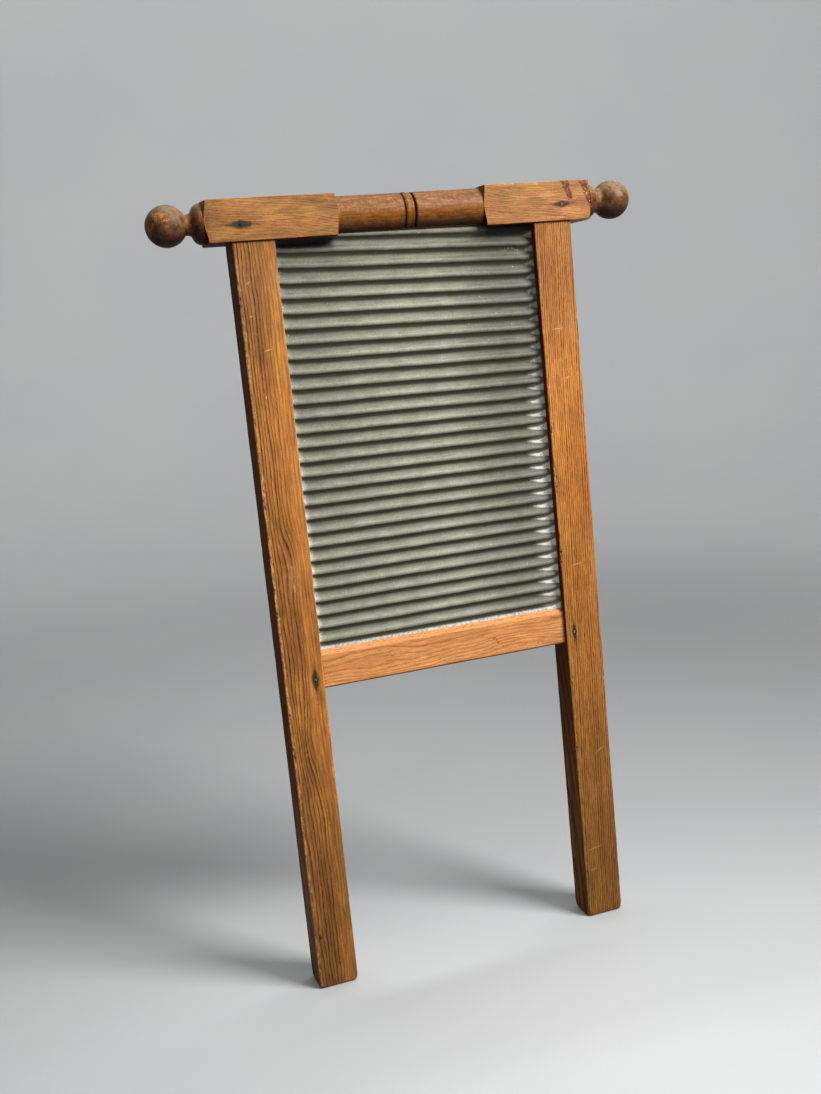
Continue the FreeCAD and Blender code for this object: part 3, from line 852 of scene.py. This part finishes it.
def finial_outline(side):
    """Ball, neck, rounded shoulder and the cut up to the square's corners, from the tip inward."""
    neck = NECK_RADIUS[side]
    ball_end = BALL_OFFSET - math.sqrt(BALL_RADIUS**2 - neck**2)
    diagonal = BALL_RADIUS * math.sqrt(0.5)
    cove_end = (BLOCK_OUTER + 9.4, neck + 1.7)
    shoulder = (BLOCK_OUTER + 2.5, SHOULDER_RADIUS)
    path = [(BALL_OFFSET + BALL_RADIUS, 0.02)]
    curve_on(path, (BALL_OFFSET + diagonal, diagonal), (BALL_OFFSET, BALL_RADIUS), 0.9)
    curve_on(path, (BALL_OFFSET - diagonal, diagonal), (ball_end, neck), 0.9)
    curve_on(path, (BLOCK_OUTER + 11.8, neck - 0.1), cove_end, 0.6)
    curve_on(path, (BLOCK_OUTER + 6.9, SHOULDER_RADIUS - 1.8), shoulder, 0.6)
    path += scooped(shoulder, (BLOCK_OUTER, CORNER_RADIUS))[1:]
    return [(side * x, r) for x, r in path]


def centre_outline():
    """The round middle from left to right, with its bead and the grooves beside it."""
    radius = CENTRE_RADIUS
    left_end, right_end = (LEFT_BLOCK_INNER + 2.2, radius), (RIGHT_BLOCK_INNER - 1.8, radius + 0.5)
    left, right = BEAD_CENTRE - 2.9, BEAD_CENTRE + 1.9  # the bead's two sides
    path = scooped(left_end, (LEFT_BLOCK_INNER, CORNER_RADIUS))[::-1]
    run_on(path, (left - 1.2, radius, 1.4), (left - 0.6, radius - 0.8, 0.3), (left, radius - 0.5, 0.3))
    curve_on(path, (BEAD_CENTRE - 0.5, radius + 0.4), (right, radius - 0.5), 0.4)
    run_on(path, (right + 0.8, radius - 0.1, 0.3), (right + 2.3, radius - 0.1, 0.4),
           (right + 3.25, radius - 1.3, 0.3), (right + 4.2, radius, 0.3),
           (right_end[0] - 22, radius, 1.4), (*right_end, 1.2))
    return path + scooped(right_end, (RIGHT_BLOCK_INNER, CORNER_RADIUS))[1:]


def rail_outline():
    """The turned envelope of the whole rail from left to right: (place along it, radius)."""
    path = finial_outline(LEFT)
    run_on(path, (LEFT_BLOCK_INNER, CORNER_RADIUS, 1.5))
    path += centre_outline()[1:]
    run_on(path, (BLOCK_OUTER, CORNER_RADIUS, 1.5))
    return np.array(path + finial_outline(RIGHT)[::-1][1:])


def top_rail():
    """The turned bar: the envelope's radius, or the square bar's where that is smaller."""
    low, high = box("top_rail")
    axis_z = (low[2] + high[2]) / 2
    half = (high[2] - low[2]) / 2
    outline = rail_outline()
    spread = np.sin(np.linspace(-1, 1, 37)[:-1] * math.pi / 2) * math.pi / 4
    turns = np.concatenate([spread + quarter * math.pi / 2 for quarter in range(4)])
    along, radius = np.repeat(outline, len(turns), axis=0).T
    out = np.abs(along)
    angle = np.tile(turns, len(outline))
    direction = np.stack([np.cos(angle), np.sin(angle)], 1)
    rearward, upward = direction.T
    square = half / np.abs(direction).max(axis=1)
    flat = radius > square
    section = direction * np.minimum(radius, square)[:, None]

    seat = np.stack([along, rearward * 20, upward * 20], 1)
    chip = chipped(seat, 13, 0.45, (7, 4, 4))
    wear = np.clip(0.9 + 0.5 * rough(seat, (14, 9, 9), 11), 0.5, 1.8) + 0.9 * chip
    low_right = ease(0.3, 0.8, -upward) * ease(-0.3, -0.8, rearward)
    wear = wear + 1.6 * low_right * ease(BLOCK_OUTER - 9, BLOCK_OUTER, along)
    inner = np.clip(section, -(half - wear)[:, None], (half - wear)[:, None])
    away = section - inner
    reach = np.linalg.norm(away, axis=1)
    worn_section = inner + away * (np.minimum(reach, wear) / np.maximum(reach, 1e-6))[:, None]
    moved = np.linalg.norm(section - worn_section, axis=1)
    section = np.where(flat[:, None], worn_section, section)

    rings = rough(np.stack([along, 0 * along, 0 * along], 1), 1.3, 18, 2)
    ring_depth = np.where(out < BLOCK_OUTER, 0.03, 0.012)
    lumps = np.where(flat, 0.1 * rough(seat, (22, 9, 9), 15) - 0.1,
                     0.12 * rough(seat, (9, 9, 9), 16) - 0.12 + ring_depth * rings)
    end_worn = ease(5, 0, BLOCK_OUTER + 2 - out) ** 2 * np.where(along > 0, 1.3, 0.5)
    lumps = lumps - np.where(flat, end_worn, 0)
    fade = np.clip(np.minimum(radius, square) / 6, 0, 1)
    section = section + direction * (lumps * fade)[:, None]
    points = np.stack([along, section[:, 0], axis_z + section[:, 1]], 1)

    in_block = (out < BLOCK_OUTER - 1) & ((along > RIGHT_BLOCK_INNER + 1) | (along < LEFT_BLOCK_INNER - 1))
    bare = np.where(flat & in_block, ease(0.15, 0.6, moved) * (0.4 + 0.6 * chip), 0)
    ball = ease(BLOCK_OUTER + 0.5, BLOCK_OUTER + 2, out)
    from_ball = out - BALL_OFFSET
    outward = np.stack([from_ball * np.sign(along), section[:, 0], section[:, 1]], 1) / BALL_RADIUS
    # A painted warm rim light on the balls' tops, facing up and back; "worn" carries it together with the
    # real scuff.
    rim_light_patch = ease(0.87, 0.93, outward @ [0.3, 0.42, 0.86]) * (np.abs(from_ball) < 13)
    scuff = ease(0.7, 0.95, outward @ [-0.42, -0.82, 0.38]) * (along < 0)
    worn = np.clip(0.9 * rim_light_patch + 0.36 * scuff, 0, 1) * ball
    # Painted shade on the blocks' undersides; the cut faces by the shoulders are dark, partly dirt, and
    # painted darker as they face down.
    underside = ease(-0.695, -0.72, upward) * (1 - 0.8 * ease(140, 152, along))
    cut_face = ~flat & (radius > SHOULDER_RADIUS + 0.4) & (out < BLOCK_OUTER + 5)
    cut_face_dirt_and_shade = 0.35 + 0.5 * ease(0.5, -0.2, upward)
    # Painted shade in the grooves beside the bead and on the turnings' undersides.
    in_groove = 0.92 * np.maximum(ease(1.1, 0.4, np.abs(along - GROOVES[0])),
                                  ease(1.4, 0.7, np.abs(along - GROOVES[1])))
    turned_painted_shade = np.maximum(0.5 * ease(-0.4, -0.95, upward), in_groove)
    grime_and_painted_shade = np.where(flat, underside, np.where(cut_face, cut_face_dirt_and_shade, turned_painted_shade))
    piece = mesh_object("top_rail_turned", points, capped(len(outline), len(turns)), {
        "ball": ball, "bare": bare, "worn": worn, "grime_and_painted_shade": grime_and_painted_shade, "pitted": 0 * along,
        "turned": np.clip(square - radius + 0.5, 0, 1)})
    groove_half = SHEET_HIGH[0] + 0.5
    cuts = [sheet_groove(-groove_half, groove_half, low[2] - 2, SHEET_HIGH[2] + 0.5)]
    cuts += [post_tenon(side, 2, MORTISE_PLAY) for side in SIDES]
    cuts += [hole for side in SIDES for hole in nail_hole("top_rail_nails", side, low[1])]
    return joinery(piece, cuts)


RAIL_PINE = Timber(
    along="x", light="#9f6d3d", warm="#8a5d31", dark="#4c2a12", ring=2.1,
    pith=(470, -40), lean=(-0.13, 0), wobble=(4, 0.7), dashes=0.7,
    contrast=0.62, mottle=1, streak=0.16, cloud=0.26,
    knots=((654, 100, 4.5, 3.5, 0), (639, -95, 7, -3, 0)),
    stains=((-138.8, -16.5, 642.8, 14.5, 4.6, 0.97), (138.8, -16.5, 643.6, 11, 3.8, 0.95)))
DRIPS = ((145, 8, 3.2, 10, 0.28), (162.6, 6, 2.8, 11, 0.3))
RAIL_AXIS = box("top_rail")[:, 2].mean()
placed(top_rail(), varnished_pine("top_rail_pine", RAIL_PINE, RAIL_AXIS, DRIPS), "top_rail")


# ---- ribbed sheet ----
RIB_PITCH, RIB_RISE, RIB_CREST_RADIUS = 11.71, 3.2, 2.3
FIRST_CREST_Z, RIB_COUNT = 301.6, 29


def rib_profile():
    """The sheet's middle line from bottom to top: (height, forward of the middle plane)."""
    flank = 2 * math.atan(2 * RIB_RISE / RIB_PITCH)
    step = RIB_CREST_RADIUS * math.sin(flank)
    join = RIB_RISE / 2 - RIB_CREST_RADIUS * (1 - math.cos(flank))
    elbow = join / math.tan(flank)
    path = [(SHEET_LOW[2], 0)]
    for rib in range(RIB_COUNT):
        z = FIRST_CREST_Z + rib * RIB_PITCH
        if rib == 0:
            run_on(path, (z - step - elbow, 0, 2), (z - step, join, 0.5))
        else:
            curve_on(path, (z - RIB_PITCH / 2, -RIB_RISE / 2), (z - step, join), 0.9)
        curve_on(path, (z, RIB_RISE / 2), (z + step, join), 0.7)
    run_on(path, (path[-1][0] + elbow, 0, 0.5), (SHEET_HIGH[2], 0, 1.5))
    return np.array(path)


def out_of_true(x, z):
    """How far the ribs stand above their ideal height. They sag in the middle of the sheet, fall to the
    right towards the top, and curl up at both ends."""
    sag = -1.7 + 2.4 * ((z - 472) / 162) ** 2
    fall = -0.034 * np.clip((z - 345) / 265, 0, 1.05) ** 1.15
    curl = np.where(x < 0, 0.7, 1.6) * ease(103, 117, np.abs(x))
    return sag + fall * x + curl


def ribbed_sheet():
    """The thin sheet: its ribs flatten towards both ends, and a torn line crosses its upper right corner."""
    middle_y = (SHEET_LOW[1] + SHEET_HIGH[1]) / 2
    profile = rib_profile()
    across = grid_lines(SHEET_LOW[0], SHEET_HIGH[0], 2.6, 20, 1.4)
    x = np.tile(across, len(profile))
    z, forward = np.repeat(profile, len(across), axis=0).T
    rib = (z - FIRST_CREST_Z) / RIB_PITCH
    edge = SHEET_HIGH[0] - np.abs(x)
    crest = RIB_RISE / 2
    forward = crest - (crest - forward) * (1 - np.where(x < 0, 0.2, 0.5) * ease(15, 1, edge))
    seat = np.stack([x, 0 * x, np.round(rib) * 50], 1)
    free = ease(2, 8, edge)
    forward = forward - free * np.abs(0.3 * rough(seat, (26, 1, 1), 33))
    tear = ease(9.5, 6, np.abs(x - 93)) * ease(2.2, 0.8, np.abs(z - 614.6 - np.sin(x / 1.6)))
    seat_fine = np.stack([x, forward, z], 1)
    forward = forward - tear * (0.7 + 0.9 * rough(seat_fine, 2.4, 35, 2))
    forward = np.clip(forward, -crest, crest)
    held = (ease(SHEET_LOW[2] + 6, FIRST_CREST_Z, z)
            * ease(SHEET_HIGH[2] - 0.5, SHEET_HIGH[2] - 12, z))
    shift = out_of_true(x, z) + 0.2 * rough(seat, (38, 1, 1), 31) * free
    shift = shift + tear * 0.8 * rough(seat_fine, 2, 37, 2)
    z = np.clip(z + held * shift, SHEET_LOW[2], SHEET_HIGH[2])
    piece = mesh_object("zinc_ribbed_sheet", np.stack([x, middle_y - forward, z], 1),
                        skin(len(profile), len(across), closed=False),
                        {"rib": rib, "crumbs": np.clip(tear, 0, 1)})
    solid = piece.modifiers.new("thickness", "SOLIDIFY")
    solid.thickness = (SHEET_HIGH[1] - SHEET_LOW[1] - RIB_RISE) * MM
    solid.offset = 0
    return piece


zinc_look = zinc(SHEET_HIGH[0], SHEET_LOW[2], SHEET_HIGH[2], (LEFT_BLOCK_INNER, RIGHT_BLOCK_INNER))
placed(ribbed_sheet(), zinc_look, "ribbed_sheet")


# ---- nails ----
def nails(node, name):
    """Two wire nails with domed heads and battered rims."""
    low, high = box(node)
    turns = 28
    length = high[1] - low[1]
    radius = (high[2] - low[2]) / 2
    profile = [(0.02, 0.1), (0.5, 0.06), (0.85, 0.12), (1, 0.3), (0.97, 0.8), (0.6, 1),
               (0.58, 4), (0.58, 12), (0.56, length - 3.2), (0.06, length)]
    points, faces = [], []
    for side in SIDES:
        x, z = (high[0] - radius) * side, (low[2] + high[2]) / 2
        base = len(points)
        for share, depth in profile:
            for a in angles(turns):
                batter = min(1 + 0.05 * math.sin(3 * a + side) + 0.03 * math.sin(7 * a), 1)
                reach = share * radius * batter
                points.append([x + reach * math.cos(a), low[1] + depth, z + reach * math.sin(a)])
        faces += [tuple(base + k for k in face) for face in capped(len(profile), turns)]
    return mesh_object(name, points, faces)


nail_iron = iron()
for end in ("top", "bottom"):
    placed(nails(end + "_rail_nails", end + "_nails"), nail_iron, end + "_rail_nails")


# ---- studio ----
def studio():
    """A pale dish: a flat floor that sweeps up into a soft grey wall all round."""
    flat, sweep, turns = 1700, 1500, 96
    rings = [(500, 0), (1100, 0), (flat, 0)]
    rings += [(flat + sweep * math.sin(a), sweep * (1 - math.cos(a)))
              for a in (math.radians(d) for d in range(6, 91, 6))]
    rings += [(flat + sweep, 2600), (flat + sweep, 3600)]
    points = [(r * math.cos(a), r * math.sin(a), z) for r, z in rings for a in angles(turns)] + [(0, 0, 0)]
    faces = [(len(points) - 1, k, (k + 1) % turns) for k in range(turns)]
    faces += [quad[::-1] for quad in skin(len(rings), turns)]
    dish = mesh_object("studio_dish", points, faces)
    n = Nodes("studio_paper")
    point = n.position()
    mottle = n.noise(point, 400)
    colour = n.mix(n.remap(mottle, 0.3, 0.7), "#c0c2c3", "#c4c5c5")
    # The paper's tone paints light: brighter in front of the object, darker on the floor further out, lighter
    # up the wall.
    from_front = n.length(n.scaled(n.shifted(point, (150, 450, 0)), (1, 1, 0)))
    out = n.length(n.scaled(point, (1, 1, 0)))
    tone = n.most(n.remap(from_front, 200, 900, 0.98, 0.72), n.remap(out, 1200, 3200, 0.72, 1.05))
    # Painted shade on the floor and lower wall to the right.
    painted_shade_right = n.times(n.remap(n.split(point)[0], -100, 900), n.remap(out, 900, 2100, 0.3, 0))
    colour = n.bright(colour, n.times(tone, n.rest(painted_shade_right)))
    dish.data.materials.append(n.finish(colour, 0.9, n.bump(mottle, 0.01), Specular_IOR_Level=0.1))


def softbox(name, place, aim, size, power, spread=180):
    """A rectangular light at a place in metres; spread is in degrees."""
    data = bpy.data.lights.new(name, "AREA")
    data.shape = "RECTANGLE"
    data.size, data.size_y = size
    data.energy = power
    data.spread = math.radians(spread)
    made = bpy.data.objects.new(name, data)
    made.location = place
    made.rotation_euler = (Vector(aim) - Vector(place)).to_track_quat("-Z", "Y").to_euler()
    bpy.context.scene.collection.objects.link(made)


def lighting():
    """A broad key from the upper right, a weak top light, a wall wash and a weak even surround."""
    world = bpy.data.worlds.new("studio_air")
    bpy.context.scene.world = world
    world.use_nodes = True
    background = world.node_tree.nodes["Background"]
    background.inputs[0].default_value = (0.96, 0.98, 1, 1)
    background.inputs[1].default_value = 0.1
    softbox("key", (0.86, -1.03, 1.38), (0, -0.1, 0.3), (0.65, 0.6), 45)
    softbox("top", (0.1, -0.7, 2.1), (0, -0.3, 0.3), (1, 0.8), 3, spread=110)
    softbox("wall_wash", (0.5, 0.6, 3), (0.6, 3.1, 0.9), (2.4, 0.5), 48)
    bpy.context.scene.view_settings.view_transform = "Standard"


studio()
lighting()
camera()
